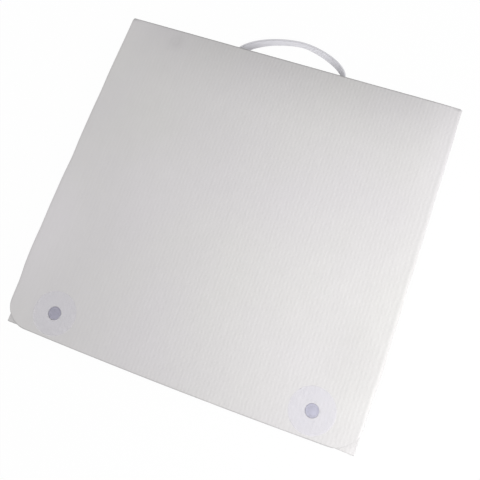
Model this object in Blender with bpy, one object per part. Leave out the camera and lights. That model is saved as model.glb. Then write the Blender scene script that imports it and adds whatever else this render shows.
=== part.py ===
# Folding tabletop light tent of fluted plastic board, folded flat into its carrying pack.
# Metres, +Z up. The pack lies on its back panel: front edge towards -Y, handle towards +Y.
# The origin is on the resting plane, under the middle of the pack and its handle.
#
# The layers, from below: back panel, two flaps, floor, lower wall halves, upper wall halves,
# roof. Turning the fold empties lifts the roof and opens the stack into a cube.

import math

import bmesh
import bpy
from mathutils import Vector

# Board and pack
TENT_WIDTH = 0.390
TENT_DEPTH = 0.378
BOARD = 0.003
LAYER_GAP = 0.0008
BOARD_RIM = 0.0005
ROOF_RIM = 0.0011
PLAIN_CORNER = 0.0015
ROOF_FRONT_CORNER = 0.020
FLAP_CORNER = 0.014

# Folds
WALL_LINE_INSET = 0.007
KNEE_HALF_GAP = 0.003
WALL_FOOT_CLEARANCE = 0.0003
KNEE_CLEARANCE = 0.0002
FRONT_MARGIN = 0.020
BACK_SIDE_CLEARANCE = 0.0003
BACK_TOP_CLEARANCE = 0.001
FLAP_REACH = 0.052
FLAP_START = 0.056
FLAP_END_MARGIN = 0.0411

# Magnets, their steel partners and the film patches over them
MAGNET_DIAMETER = 0.0138
MAGNET_THICKNESS = 0.0024
MAGNET_RIM = 0.0002
STEEL_THICKNESS = 0.001
POCKET_CLEARANCE = 0.0003
FILM_GAP = 0.0001
FILM_THICKNESS = 0.00035
CLOSURE_PATCH_DIAMETER = 0.048
FLAP_PATCH_DIAMETER = 0.038
CLOSURE_MAGNET_SIDE_INSET = 0.051
CLOSURE_MAGNET_FRONT_INSET = 0.026
HOLD_DISTANCE = 0.096
FLAP_MAGNET_REACH = 0.027

# Rear spine and strap handle
SPINE_BOTTOM = 0.001
FACE_GAP = 0.0001
HANDLE_HALF_SPAN = 0.064
HANDLE_RISE = 0.0305
HANDLE_FULLNESS = 1.75
HANDLE_DROP = 0.006
STRAP_WIDTH = 0.0105
STRAP_RIM_THICKNESS = 0.0019
STRAP_WEB_THICKNESS = 0.0013
STRAP_RIM_WIDTH = 0.0012
SLOT_CLEARANCE = 0.0004
PLATE_THICKNESS = 0.0011
PLATE_WIDTH = 0.016
PLATE_HEIGHT = 0.0145
PLATE_GAP = 0.0003
HEAD_THICKNESS = 0.0016
HEAD_WIDTH = 0.012
HEAD_GAP = 0.0005

# Lights under the roof's front margin
STRIP_WIDTH = 0.010
STRIP_THICKNESS = 0.001
STRIP_INNER_END = 0.006
STRIP_SIDE_INSET = 0.024
STRIP_CENTRE_INSET = 0.009
CHIP_LENGTH = 0.005
CHIP_WIDTH = 0.0048
CHIP_HEIGHT = 0.0008
CHIP_COUNT = 12
DIFFUSER_WALL = 0.0008
DIFFUSER_DEPTH = 0.003
DIFFUSER_SIDE_GAP = 0.0003
INLET_LENGTH = 0.011
INLET_WIDTH = 0.011
INLET_HEIGHT = 0.0055
INLET_END_GAP = 0.001
INLET_RIM = 0.0004
INLET_BORE = 0.0038
INLET_PIN = 0.0013
INLET_BORE_DEPTH = 0.0085

# Hook pads that hold a backdrop under the roof
PAD_DIAMETER = 0.020
PAD_THICKNESS = 0.0004
PAD_SIDE_INSET = 0.045
PAD_REAR_INSET = 0.030

# Shared by all cutters, and the counts of round shapes
OVERRUN = 0.001
ROUND_STEPS = 32
CORNER_STEPS = 6
HANDLE_STEPS = 40
EMPTY_SIZE = 0.010

# Heights of the stack
layer_pitch = BOARD + LAYER_GAP


def layer_bottom(layer):
    return layer * layer_pitch


back_top = BOARD
flap_bottom, flap_top = layer_bottom(1), layer_bottom(1) + BOARD
floor_bottom, floor_top = layer_bottom(2), layer_bottom(2) + BOARD
lower_bottom, lower_top = layer_bottom(3), layer_bottom(3) + BOARD
upper_bottom, upper_top = layer_bottom(4), layer_bottom(4) + BOARD
roof_bottom, roof_top = layer_bottom(5), layer_bottom(5) + BOARD

# Plan of the stack
half_width = TENT_WIDTH / 2
front_y = -(TENT_DEPTH + HANDLE_RISE) / 2
rear_y = front_y + TENT_DEPTH
spine_inner_y = rear_y - BOARD
plate_y = spine_inner_y - PLATE_GAP - PLATE_THICKNESS
head_y = plate_y - HEAD_GAP - HEAD_THICKNESS
floor_rear_y = head_y - HEAD_GAP

# Fold lines: each lies in the gap between the two boards that it joins
wall_line = half_width - WALL_LINE_INSET
foot_z = lower_bottom - LAYER_GAP / 2
knee_z = upper_bottom - LAYER_GAP / 2
head_z = roof_bottom - LAYER_GAP / 2
back_fold_z = (back_top + floor_bottom) / 2
wall_outer_face = wall_line + LAYER_GAP / 2 + BOARD
flap_fold_x = wall_outer_face + LAYER_GAP + BOARD
flap_fold_z = flap_bottom - LAYER_GAP / 2

# The wall halves share one length, so the roof rises straight up by this much
wall_reach = wall_line - KNEE_HALF_GAP
roof_lift = 2 * (wall_reach - layer_pitch)

# The back panel stands on the floor behind the walls, its top just under the spine
back_start = floor_top + LAYER_GAP / 2 - back_fold_z
back_reach = roof_lift + SPINE_BOTTOM - BACK_TOP_CLEARANCE - back_fold_z
flap_length = back_reach - FLAP_START - FLAP_END_MARGIN
wall_rear_y = floor_rear_y - back_fold_z - LAYER_GAP / 2
wall_front_y = front_y + FRONT_MARGIN

# Each flap magnet meets a steel disc, at one distance from the foot and from the roof fold
disc_x = wall_line - HOLD_DISTANCE
disc_y = floor_rear_y - back_fold_z + flap_fold_z - FLAP_MAGNET_REACH
low_magnet_y = floor_rear_y - (foot_z + HOLD_DISTANCE - back_fold_z)
high_magnet_y = floor_rear_y - (head_z + roof_lift - HOLD_DISTANCE - back_fold_z)
flap_magnet_x = flap_fold_x - FLAP_MAGNET_REACH
closure_magnet_x = half_width - CLOSURE_MAGNET_SIDE_INSET
closure_magnet_y = front_y + CLOSURE_MAGNET_FRONT_INSET

handle_z = roof_top - HANDLE_DROP - STRAP_WIDTH / 2
handle_arch = HANDLE_RISE - STRAP_RIM_THICKNESS / 2

SIDES = (("left", -1), ("right", 1))
pivot_places = {}


def clear_scene():
    for thing in list(bpy.data.objects):
        bpy.data.objects.remove(thing, do_unlink=True)


def make_material(name, colour, roughness, metallic=0.0):
    look = bpy.data.materials.new(name)
    look.use_nodes = True
    shader = look.node_tree.nodes["Principled BSDF"]
    shader.inputs["Base Color"].default_value = (*colour, 1.0)
    shader.inputs["Roughness"].default_value = roughness
    shader.inputs["Metallic"].default_value = metallic
    look.diffuse_color = (*colour, 1.0)
    return look


def make_pivot(name, place, parent=None):
    # An empty on a fold line; its pieces and the next fold hang from it
    pivot = bpy.data.objects.new(name, None)
    pivot.empty_display_size = EMPTY_SIZE
    bpy.context.collection.objects.link(pivot)
    pivot_places[pivot] = Vector(place)
    pivot.parent = parent
    pivot.location = pivot_places[pivot] - pivot_places.get(parent, Vector())
    return pivot


def add_piece(name, bm, place, pivot, look):
    # A piece whose mesh is built round its own origin, put at a place in the pack
    bmesh.ops.recalc_face_normals(bm, faces=bm.faces)
    mesh = bpy.data.meshes.new(name)
    bm.to_mesh(mesh)
    bm.free()
    piece = bpy.data.objects.new(name, mesh)
    bpy.context.collection.objects.link(piece)
    piece.parent = pivot
    piece.location = Vector(place) - pivot_places[pivot]
    if look is not None:
        mesh.materials.append(look)
    return piece


def round_rims(piece, width, segments=1):
    rims = piece.modifiers.new("rounded rims", "BEVEL")
    rims.width = width
    rims.segments = segments
    rims.limit_method = "ANGLE"
    rims.angle_limit = math.radians(60)


def shade_round(piece):
    piece.data.shade_smooth()
    piece.data.set_sharp_from_angle(angle=math.radians(35))


def combine(piece, tool, operation):
    # A Boolean with a hidden helper shape
    tool.hide_render = True
    tool.display_type = "WIRE"
    step = piece.modifiers.new(tool.name, "BOOLEAN")
    step.operation = operation
    step.solver = "EXACT"
    step.object = tool


def rounded_outline(half_x, half_y, radii):
    # Anticlockwise from the front left corner, each corner a quarter circle
    corners = ((-1, -1, 180), (1, -1, 270), (1, 1, 0), (-1, 1, 90))
    points = []
    for (side_x, side_y, start), radius in zip(corners, radii):
        centre_x = side_x * (half_x - radius)
        centre_y = side_y * (half_y - radius)
        for step in range(CORNER_STEPS + 1):
            angle = math.radians(start + 90 * step / CORNER_STEPS)
            points.append((centre_x + radius * math.cos(angle), centre_y + radius * math.sin(angle)))
    return points


def extrude_outline(points, height):
    # A flat outline in X and Y raised along Z, its middle height at zero
    bm = bmesh.new()
    base = bm.faces.new([bm.verts.new((x, y, -height / 2)) for x, y in points])
    raised = bmesh.ops.extrude_face_region(bm, geom=[base])["geom"]
    verts = [item for item in raised if isinstance(item, bmesh.types.BMVert)]
    bmesh.ops.translate(bm, verts=verts, vec=(0, 0, height))
    return bm


def add_box(bm, centre, size):
    made = bmesh.ops.create_cube(bm, size=1)["verts"]
    bmesh.ops.scale(bm, verts=made, vec=size)
    bmesh.ops.translate(bm, verts=made, vec=centre)


def round_bar(diameter, height):
    bm = bmesh.new()
    radius = diameter / 2
    bmesh.ops.create_cone(bm, cap_ends=True, segments=ROUND_STEPS, radius1=radius, radius2=radius, depth=height)
    return bm


def make_panel(name, low, high, radii, rim, pivot, look, rim_segments=1):
    # A board between two opposite corners of its box
    low, high = Vector(low), Vector(high)
    size = high - low
    bm = extrude_outline(rounded_outline(size.x / 2, size.y / 2, radii), size.z)
    panel = add_piece(name, bm, (low + high) / 2, pivot, look)
    round_rims(panel, rim, rim_segments)
    return panel


def make_disc(name, place, diameter, thickness, rim, pivot, look):
    disc = add_piece(name, round_bar(diameter, thickness), place, pivot, look)
    if rim:
        round_rims(disc, rim)
    shade_round(disc)
    return disc


def seat_disc(name, panel, centre, face_z, inward, thickness, pivot, look):
    # A disc in a blind round pocket that opens at the face at face_z; inward is +1 or -1 in Z
    pocket_depth = thickness + 2 * FILM_GAP
    pocket_middle = face_z + inward * (pocket_depth - OVERRUN) / 2
    pocket = round_bar(MAGNET_DIAMETER + 2 * POCKET_CLEARANCE, pocket_depth + OVERRUN)
    tool = add_piece(name + "_pocket", pocket, (*centre, pocket_middle), pivot, None)
    combine(panel, tool, "DIFFERENCE")
    disc_z = face_z + inward * (FILM_GAP + thickness / 2)
    make_disc(name, (*centre, disc_z), MAGNET_DIAMETER, thickness, MAGNET_RIM, pivot, look)


def cover_disc(name, centre, face_z, outward, diameter, pivot, look):
    # A round of clear film that lies just off the board, over a magnet
    film_z = face_z + outward * (FILM_GAP + FILM_THICKNESS / 2)
    make_disc(name, (*centre, film_z), diameter, FILM_THICKNESS, 0, pivot, look)


def build_floor(pivot, looks):
    low = (-half_width, front_y, floor_bottom)
    high = (half_width, floor_rear_y, floor_top)
    floor = make_panel("floor_panel", low, high, (PLAIN_CORNER,) * 4, BOARD_RIM, pivot, looks["board"])
    for side, sign in SIDES:
        centre = (sign * closure_magnet_x, closure_magnet_y)
        magnet = f"floor_magnet_{side}"
        patch = f"floor_patch_{side}"
        seat_disc(magnet, floor, centre, floor_bottom, 1, MAGNET_THICKNESS, pivot, looks["magnet"])
        cover_disc(patch, centre, floor_bottom, -1, CLOSURE_PATCH_DIAMETER, pivot, looks["film"])


def build_wall(side, sign, foot, knee, looks):
    # Two halves that lie on each other when folded; the outer side of each holds a steel disc
    knee_end = KNEE_HALF_GAP + KNEE_CLEARANCE
    fold_end = wall_line - WALL_FOOT_CLEARANCE
    xs = sorted((sign * knee_end, sign * fold_end))
    centre = (sign * disc_x, disc_y)
    halves = (
        ("lower", lower_bottom, lower_top, lower_top, -1, foot),
        ("upper", upper_bottom, upper_top, upper_bottom, 1, knee),
    )
    for half, bottom, top, outer_z, inward, pivot in halves:
        low = (xs[0], wall_front_y, bottom)
        high = (xs[1], wall_rear_y, top)
        name = f"{side}_wall_{half}"
        wall = make_panel(name, low, high, (PLAIN_CORNER,) * 4, BOARD_RIM, pivot, looks["board"])
        disc = f"{side}_{half}_disc"
        seat_disc(disc, wall, centre, outer_z, inward, STEEL_THICKNESS, pivot, looks["steel"])


def build_roof(pivot, looks):
    low = (-half_width, front_y, roof_bottom)
    high = (half_width, rear_y, roof_top)
    radii = (ROOF_FRONT_CORNER, ROOF_FRONT_CORNER, PLAIN_CORNER, PLAIN_CORNER)
    roof = make_panel("roof_panel", low, high, radii, ROOF_RIM, pivot, looks["board"], rim_segments=3)
    for side, sign in SIDES:
        centre = (sign * closure_magnet_x, closure_magnet_y)
        magnet = f"roof_magnet_{side}"
        patch = f"roof_patch_{side}"
        seat_disc(magnet, roof, centre, roof_top, -1, MAGNET_THICKNESS, pivot, looks["magnet"])
        cover_disc(patch, centre, roof_top, 1, CLOSURE_PATCH_DIAMETER, pivot, looks["film"])
        pad_place = (sign * (half_width - PAD_SIDE_INSET), rear_y - PAD_REAR_INSET, roof_bottom - FACE_GAP - PAD_THICKNESS / 2)
        make_disc(f"backdrop_pad_{side}", pad_place, PAD_DIAMETER, PAD_THICKNESS, 0, pivot, looks["hook"])


def build_spine(pivot, looks):
    # The narrow rear edge that hangs from the roof, with a slot for each end of the handle
    low = Vector((-half_width, spine_inner_y, SPINE_BOTTOM))
    high = Vector((half_width, rear_y, roof_bottom - FACE_GAP))
    bm = bmesh.new()
    add_box(bm, (0, 0, 0), high - low)
    spine = add_piece("roof_spine", bm, (low + high) / 2, pivot, looks["board"])
    round_rims(spine, BOARD_RIM)
    # One slot runs through the spine and the plate behind it
    slot_size = (
        STRAP_RIM_THICKNESS + 2 * SLOT_CLEARANCE,
        rear_y - plate_y + 2 * OVERRUN,
        STRAP_WIDTH + 2 * SLOT_CLEARANCE,
    )
    for side, sign in SIDES:
        slot = bmesh.new()
        add_box(slot, (0, 0, 0), slot_size)
        slot_place = (sign * HANDLE_HALF_SPAN, (rear_y + plate_y) / 2, handle_z)
        tool = add_piece(f"spine_slot_{side}", slot, slot_place, pivot, None)
        combine(spine, tool, "DIFFERENCE")

        plate_bm = bmesh.new()
        add_box(plate_bm, (0, 0, 0), (PLATE_WIDTH, PLATE_THICKNESS, PLATE_HEIGHT))
        plate_place = (sign * HANDLE_HALF_SPAN, plate_y + PLATE_THICKNESS / 2, handle_z)
        plate = add_piece(f"handle_plate_{side}", plate_bm, plate_place, pivot, looks["plate"])
        combine(plate, tool, "DIFFERENCE")


def strap_section(rim_thickness, web_thickness):
    # Points across the strap (thickness, height): raised rims along both long edges
    rim = rim_thickness / 2
    web = web_thickness / 2
    edge = STRAP_WIDTH / 2
    rim_end = edge - STRAP_RIM_WIDTH
    web_end = rim_end - (STRAP_RIM_THICKNESS - STRAP_WEB_THICKNESS)
    half = [(rim, -edge), (rim, -rim_end), (web, -web_end), (web, web_end), (rim, rim_end), (rim, edge)]
    return half + [(-across, up) for across, up in reversed(half)]


def strap_stations():
    # Half a superellipse from the spine's outer face, carried straight inward to a wide head:
    # a fullness of 2 is an ellipse, and less makes its shoulders slimmer.
    # Each station is a centre, an outward normal and the section at that place.
    strap = (STRAP_RIM_THICKNESS, STRAP_WEB_THICKNESS)
    head = (HEAD_WIDTH, HEAD_WIDTH)
    tail = [
        (head_y, head),
        (head_y + HEAD_THICKNESS, head),
        (head_y + HEAD_THICKNESS, strap),
    ]
    first = [(Vector((HANDLE_HALF_SPAN, y, 0)), Vector((1, 0, 0)), section) for y, section in tail]
    last = [(Vector((-HANDLE_HALF_SPAN, y, 0)), Vector((-1, 0, 0)), section) for y, section in tail]
    arch = []
    for step in range(HANDLE_STEPS + 1):
        angle = math.pi * step / HANDLE_STEPS
        across = math.copysign(abs(math.cos(angle)) ** (2 / HANDLE_FULLNESS), math.cos(angle))
        along = abs(math.sin(angle)) ** (2 / HANDLE_FULLNESS)
        centre = Vector((HANDLE_HALF_SPAN * across, rear_y + handle_arch * along, 0))
        slope_x = math.copysign(abs(across) ** (HANDLE_FULLNESS - 1), across) / HANDLE_HALF_SPAN
        slope_y = along ** (HANDLE_FULLNESS - 1) / handle_arch
        normal = Vector((slope_x, slope_y, 0)).normalized()
        arch.append((centre, normal, strap))
    return first + arch + last[::-1]


def build_handle(pivot, looks):
    bm = bmesh.new()
    rings = []
    for centre, normal, section in strap_stations():
        points = [centre + normal * across + Vector((0, 0, up)) for across, up in strap_section(*section)]
        rings.append([bm.verts.new(point) for point in points])
    for ring, after in zip(rings, rings[1:]):
        for index in range(len(ring)):
            following = (index + 1) % len(ring)
            bm.faces.new((ring[index], ring[following], after[following], after[index]))
    bm.faces.new(rings[0])
    bm.faces.new(rings[-1])
    strap = add_piece("handle_strap", bm, (0, 0, handle_z), pivot, looks["strap"])
    shade_round(strap)


def build_light(side, sign, pivot, looks):
    # A strip of light chips under the roof's front margin, its cover, and its power inlet
    seat_z = roof_bottom - FACE_GAP
    strip_y = front_y + STRIP_CENTRE_INSET
    strip_end = half_width - STRIP_SIDE_INSET
    strip_length = strip_end - STRIP_INNER_END
    strip_x = sign * (STRIP_INNER_END + strip_end) / 2
    strip_z = seat_z - STRIP_THICKNESS / 2
    bm = bmesh.new()
    add_box(bm, (0, 0, 0), (strip_length, STRIP_WIDTH, STRIP_THICKNESS))
    strip = add_piece(f"led_strip_{side}", bm, (strip_x, strip_y, strip_z), pivot, looks["circuit"])

    chips = bmesh.new()
    chip_pitch = strip_length / CHIP_COUNT
    for index in range(CHIP_COUNT):
        chip_x = (index + 1 / 2) * chip_pitch - strip_length / 2
        add_box(chips, (chip_x, 0, -CHIP_HEIGHT / 2), (CHIP_LENGTH, CHIP_WIDTH, CHIP_HEIGHT + STRIP_THICKNESS))
    tool = add_piece(f"led_chips_{side}", chips, (strip_x, strip_y, strip_z), pivot, None)
    combine(strip, tool, "UNION")

    inner = STRIP_WIDTH / 2 + DIFFUSER_SIDE_GAP
    outer = inner + DIFFUSER_WALL
    web = DIFFUSER_DEPTH / 2 - DIFFUSER_WALL
    tip = DIFFUSER_DEPTH / 2
    section = [
        (-outer, -tip), (outer, -tip), (outer, tip), (inner, tip),
        (inner, -web), (-inner, -web), (-inner, tip), (-outer, tip),
    ]
    cover = extrude_outline(section, strip_length)
    # The section's own X and Y become the tent's Y and Z, and its length runs along X
    for vert in cover.verts:
        vert.co = Vector((vert.co.z, vert.co.x, vert.co.y))
    cover_place = (strip_x, strip_y, seat_z - DIFFUSER_DEPTH / 2)
    add_piece(f"led_diffuser_{side}", cover, cover_place, pivot, looks["diffuser"])

    inlet_end = strip_end + INLET_END_GAP + INLET_LENGTH
    inlet_z = seat_z - INLET_HEIGHT / 2
    block = bmesh.new()
    add_box(block, (0, 0, 0), (INLET_LENGTH, INLET_WIDTH, INLET_HEIGHT))
    block_place = (sign * (inlet_end - INLET_LENGTH / 2), strip_y, inlet_z)
    inlet = add_piece(f"led_inlet_{side}", block, block_place, pivot, looks["inlet"])
    round_rims(inlet, INLET_RIM)
    bore_tool = add_piece(
        f"inlet_bore_{side}", ring_bar(INLET_PIN, INLET_BORE, INLET_BORE_DEPTH + OVERRUN),
        (sign * (inlet_end - (INLET_BORE_DEPTH - OVERRUN) / 2), strip_y, inlet_z), pivot, None,
    )
    bore_tool.rotation_euler = (0, math.radians(90), 0)
    combine(inlet, bore_tool, "DIFFERENCE")


def ring_bar(inner_diameter, outer_diameter, height):
    # A tube along Z: one square section carried round the axis
    bm = bmesh.new()
    rings = []
    for step in range(ROUND_STEPS):
        angle = 2 * math.pi * step / ROUND_STEPS
        ring = []
        for diameter, end in ((inner_diameter, -1), (outer_diameter, -1), (outer_diameter, 1), (inner_diameter, 1)):
            radius = diameter / 2
            ring.append(bm.verts.new((radius * math.cos(angle), radius * math.sin(angle), end * height / 2)))
        rings.append(ring)
    for step in range(ROUND_STEPS):
        ring, after = rings[step], rings[(step + 1) % ROUND_STEPS]
        for index in range(4):
            following = (index + 1) % 4
            bm.faces.new((ring[index], ring[following], after[following], after[index]))
    return bm


def build_back(pivot, looks):
    half = flap_fold_x - BACK_SIDE_CLEARANCE
    low = (-half, floor_rear_y - back_reach, 0)
    high = (half, floor_rear_y - back_start, back_top)
    make_panel("back_panel", low, high, (PLAIN_CORNER,) * 4, BOARD_RIM, pivot, looks["board"])


def build_flap(side, sign, pivot, looks):
    # A flap grips the outside of a wall, so its magnets open at the face that then looks out
    root = flap_fold_z + LAYER_GAP / 2
    xs = sorted((sign * (flap_fold_x - root), sign * (flap_fold_x - FLAP_REACH)))
    high_y = floor_rear_y - FLAP_START
    low = (xs[0], high_y - flap_length, flap_bottom)
    high = (xs[1], high_y, flap_top)
    # The free side looks to the middle of the pack
    free, fixed = FLAP_CORNER, PLAIN_CORNER
    radii = (fixed, free, free, fixed) if sign < 0 else (free, fixed, fixed, free)
    flap = make_panel(f"{side}_flap", low, high, radii, BOARD_RIM, pivot, looks["board"])
    for level, y in (("low", low_magnet_y), ("high", high_magnet_y)):
        centre = (sign * flap_magnet_x, y)
        magnet = f"{side}_flap_magnet_{level}"
        patch = f"{side}_flap_patch_{level}"
        seat_disc(magnet, flap, centre, flap_bottom, 1, MAGNET_THICKNESS, pivot, looks["magnet"])
        cover_disc(patch, centre, flap_bottom, -1, FLAP_PATCH_DIAMETER, pivot, looks["film"])


def main():
    clear_scene()
    looks = {
        "board": make_material("fluted_board", (0.84, 0.83, 0.84), 0.48),
        "magnet": make_material("nickel_magnet", (0.34, 0.34, 0.38), 0.38, 0.8),
        "steel": make_material("steel_disc", (0.52, 0.52, 0.54), 0.35, 0.9),
        "film": make_material("clear_film", (0.72, 0.71, 0.80), 0.30),
        "strap": make_material("handle_plastic", (0.78, 0.79, 0.86), 0.40),
        "plate": make_material("plate_plastic", (0.70, 0.70, 0.72), 0.50),
        "circuit": make_material("light_strip", (0.86, 0.86, 0.82), 0.45),
        "diffuser": make_material("milky_cover", (0.90, 0.90, 0.90), 0.35),
        "inlet": make_material("inlet_plastic", (0.03, 0.03, 0.03), 0.40),
        "hook": make_material("hook_pad", (0.80, 0.80, 0.79), 0.90),
    }
    base = make_pivot("pack_base", (0, 0, 0))
    build_floor(base, looks)

    foot = {}
    knee = {}
    for side, sign in SIDES:
        foot[side] = make_pivot(f"{side}_foot_fold", (sign * wall_line, 0, foot_z), base)
        knee[side] = make_pivot(f"{side}_knee_fold", (sign * KNEE_HALF_GAP, 0, knee_z), foot[side])
        build_wall(side, sign, foot[side], knee[side], looks)

    # The roof is carried by the left wall; its fold to the right wall meets it there
    roof = make_pivot("roof_fold", (-wall_line, 0, head_z), knee["left"])
    build_roof(roof, looks)
    build_spine(roof, looks)
    build_handle(roof, looks)
    for side, sign in SIDES:
        build_light(side, sign, roof, looks)

    back = make_pivot("back_fold", (0, floor_rear_y, back_fold_z), base)
    build_back(back, looks)
    for side, sign in SIDES:
        flap = make_pivot(f"{side}_flap_fold", (sign * flap_fold_x, 0, flap_fold_z), back)
        build_flap(side, sign, flap, looks)


main()
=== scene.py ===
import math
import bpy
import numpy as np
from mathutils import Matrix, Vector


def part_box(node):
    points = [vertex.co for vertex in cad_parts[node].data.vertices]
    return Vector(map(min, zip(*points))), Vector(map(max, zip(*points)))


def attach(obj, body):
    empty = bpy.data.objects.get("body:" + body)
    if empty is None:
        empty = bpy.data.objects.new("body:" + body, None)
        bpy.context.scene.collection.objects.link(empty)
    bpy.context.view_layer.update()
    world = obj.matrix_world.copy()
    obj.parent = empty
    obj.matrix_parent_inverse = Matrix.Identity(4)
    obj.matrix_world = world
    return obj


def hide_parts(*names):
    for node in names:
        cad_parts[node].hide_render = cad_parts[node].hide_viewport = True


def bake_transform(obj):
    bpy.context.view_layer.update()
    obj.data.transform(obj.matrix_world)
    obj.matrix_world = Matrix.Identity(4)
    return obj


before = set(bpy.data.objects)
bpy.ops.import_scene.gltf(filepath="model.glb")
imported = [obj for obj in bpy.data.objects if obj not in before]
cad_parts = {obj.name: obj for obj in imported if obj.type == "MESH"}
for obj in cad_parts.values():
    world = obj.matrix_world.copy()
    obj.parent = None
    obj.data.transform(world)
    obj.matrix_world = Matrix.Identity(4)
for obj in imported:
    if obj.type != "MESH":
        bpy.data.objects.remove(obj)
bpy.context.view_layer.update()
print("frame loaded:", len(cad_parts), "nodes")

scene = bpy.context.scene
scene.view_settings.view_transform = "Standard"
sides = (("left", -1), ("right", 1))


def corners(node):
    low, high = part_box(node)
    return np.array(low), np.array(high)


def middleOf(low, high):
    return np.array([(low[0] + high[0]) / 2, (low[1] + high[1]) / 2, 0])


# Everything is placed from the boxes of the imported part, above all its roof, rear spine and strap
roofLow, roofHigh = corners("roof_panel")
spineLow, spineHigh = corners("roof_spine")
strapLow, strapHigh = corners("handle_strap")
middleX = (roofLow[0] + roofHigh[0]) / 2
slotX = abs(middleOf(*corners("handle_plate_left"))[0])   # how far the strap's ends stand from the middle


# Meshes

def held(value):
    # kept between 0 and 1
    return np.clip(value, 0, 1)


def eased(value):
    # an S curve from 0 to 1: three squares less two cubes
    return value * value * (3 - 2 * value)


def smoothPiece(piece, sharpAngle=35):
    # smooth shading, but edges sharper than the angle stay hard
    piece.data.shade_smooth()
    piece.data.set_sharp_from_angle(angle=math.radians(sharpAngle))


def makeMesh(name, points, faces, sharpAngle=35):
    mesh = bpy.data.meshes.new(name)
    mesh.from_pydata(np.asarray(points, float).reshape(-1, 3).tolist(), [], faces)
    mesh.update()
    piece = bpy.data.objects.new(name, mesh)
    scene.collection.objects.link(piece)
    smoothPiece(piece, sharpAngle)
    return piece


def gridQuads(rows, loop):
    # quads between neighbouring rows of a grid; each row is a closed loop of points
    j, i = np.meshgrid(np.arange(rows - 1), np.arange(loop), indexing="ij")
    following = (i + 1) % loop
    here, beside = j * loop + i, j * loop + following
    return np.stack([here, beside, beside + loop, here + loop], -1).reshape(-1, 4)


def latticeNoise(seed, a, b):
    # smooth noise from -1 to 1: random values at whole numbers of a and b, eased between them
    a = np.asarray(a, float) - np.min(a)
    b = np.asarray(b, float) - np.min(b)
    table = np.random.default_rng(seed).uniform(-1, 1, (int(a.max()) + 2, int(b.max()) + 2))
    i, j = a.astype(int), b.astype(int)
    u, v = eased(a - i), eased(b - j)
    low = table[i, j] * (1 - v) + table[i, j + 1] * v
    high = table[i + 1, j] * (1 - v) + table[i + 1, j + 1] * v
    return low * (1 - u) + high * u


def latheShape(profile, steps):
    # (radius, height) pairs from axis to axis, lowest first, turned round the vertical
    profile = np.asarray(profile, float)
    turn = np.linspace(0, 2 * np.pi, steps, endpoint=False)
    inner = profile[1:-1]
    ring = np.stack([inner[:, None, 0] * np.cos(turn), inner[:, None, 0] * np.sin(turn),
                     inner[:, None, 1] + 0 * turn], -1)
    points = np.vstack([ring.reshape(-1, 3), [[0, 0, profile[0, 1]], [0, 0, profile[-1, 1]]]])
    k = np.arange(steps)
    top = (len(inner) - 1) * steps
    faces = gridQuads(len(inner), steps).tolist()
    faces += np.stack([np.full(steps, len(points) - 2), (k + 1) % steps, k], -1).tolist()
    faces += np.stack([np.full(steps, len(points) - 1), top + k, top + (k + 1) % steps], -1).tolist()
    return points, faces


def lathe(name, profile, centre, steps=64):
    points, faces = latheShape(profile, steps)
    return makeMesh(name, points + np.asarray(centre, float), faces)


def stamp(name, shape, places):
    # one small shape repeated at many places, as one mesh
    points, faces = shape
    everyPoint = np.asarray(places, float)[:, None, :] + points[None, :, :]
    firsts = [n * len(points) for n in range(len(places))]
    everyFace = [[first + index for index in face] for first in firsts for face in faces]
    return makeMesh(name, everyPoint, everyFace)


def boxShape(low, high):
    # the eight corners of a plain box, and its six faces looking outwards
    low, high = np.asarray(low, float), np.asarray(high, float)
    pick = np.array([[x, y, z] for z in (0, 1) for x, y in ((0, 0), (1, 0), (1, 1), (0, 1))])
    faces = [(3, 2, 1, 0), (4, 5, 6, 7), (0, 1, 5, 4), (1, 2, 6, 5), (2, 3, 7, 6), (3, 0, 4, 7)]
    return low + pick * (high - low), faces


def cut(piece, shapes):
    # takes closed shapes, given as points and faces, out of a closed piece and keeps the plain result
    cutters = [makeMesh("cutter", *shape) for shape in shapes]
    for cutter in cutters:
        step = piece.modifiers.new("cut", "BOOLEAN")
        step.operation = "DIFFERENCE"
        step.solver = "MANIFOLD"
        step.object = cutter
    bpy.context.view_layer.update()
    whole, result = piece.data, piece.evaluated_get(bpy.context.evaluated_depsgraph_get())
    piece.data = bpy.data.meshes.new_from_object(result)
    piece.data.name = piece.name
    piece.modifiers.clear()
    bpy.data.meshes.remove(whole)
    for cutter in cutters:
        bpy.data.objects.remove(cutter)


opening = {"around": 0.0003, "behind": 0.0001, "beyond": 0.001}   # what a cut leaves free round a disc


def discPocket(node, panel, side):
    # a cylinder: the round hole of a disc, open to the panel's top for side 1 and to its underside for -1
    low, high = corners(node)
    panelLow, panelHigh = corners(panel)
    radius = (high[0] - low[0]) / 2 + opening["around"]
    bottom, top = low[2] - opening["behind"], panelHigh[2] + opening["beyond"]
    if side < 0:
        bottom, top = panelLow[2] - opening["beyond"], high[2] + opening["behind"]
    points, faces = latheShape([(0, bottom), (radius, bottom), (radius, top), (0, top)], 64)
    return points + middleOf(low, high), faces


def pointArray(piece):
    points = np.zeros(len(piece.data.vertices) * 3)
    piece.data.vertices.foreach_get("co", points)
    return points.reshape(-1, 3)


def movePoints(piece, points):
    piece.data.vertices.foreach_set("co", np.asarray(points, float).ravel())
    piece.data.update()


def writeShare(piece, name, values):
    # one number at each point, which a material reads with pointShare
    layer = piece.data.attributes.new(name, "FLOAT", "POINT")
    layer.data.foreach_set("value", values.astype(np.float32))


def finishPiece(piece, look, body, slot, *nodes):
    piece.data.materials.clear()
    piece.data.materials.append(looks[look])
    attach(piece, body)
    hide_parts(*nodes)
    return piece


# Material nodes

def feed(tree, value, socket):
    # a link from another node, or a plain value
    if isinstance(value, bpy.types.NodeSocket):
        tree.links.new(value, socket)
    elif hasattr(socket.default_value, "__len__") and len(socket.default_value) == 4:
        socket.default_value = (*value, 1)
    else:
        socket.default_value = value


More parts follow.
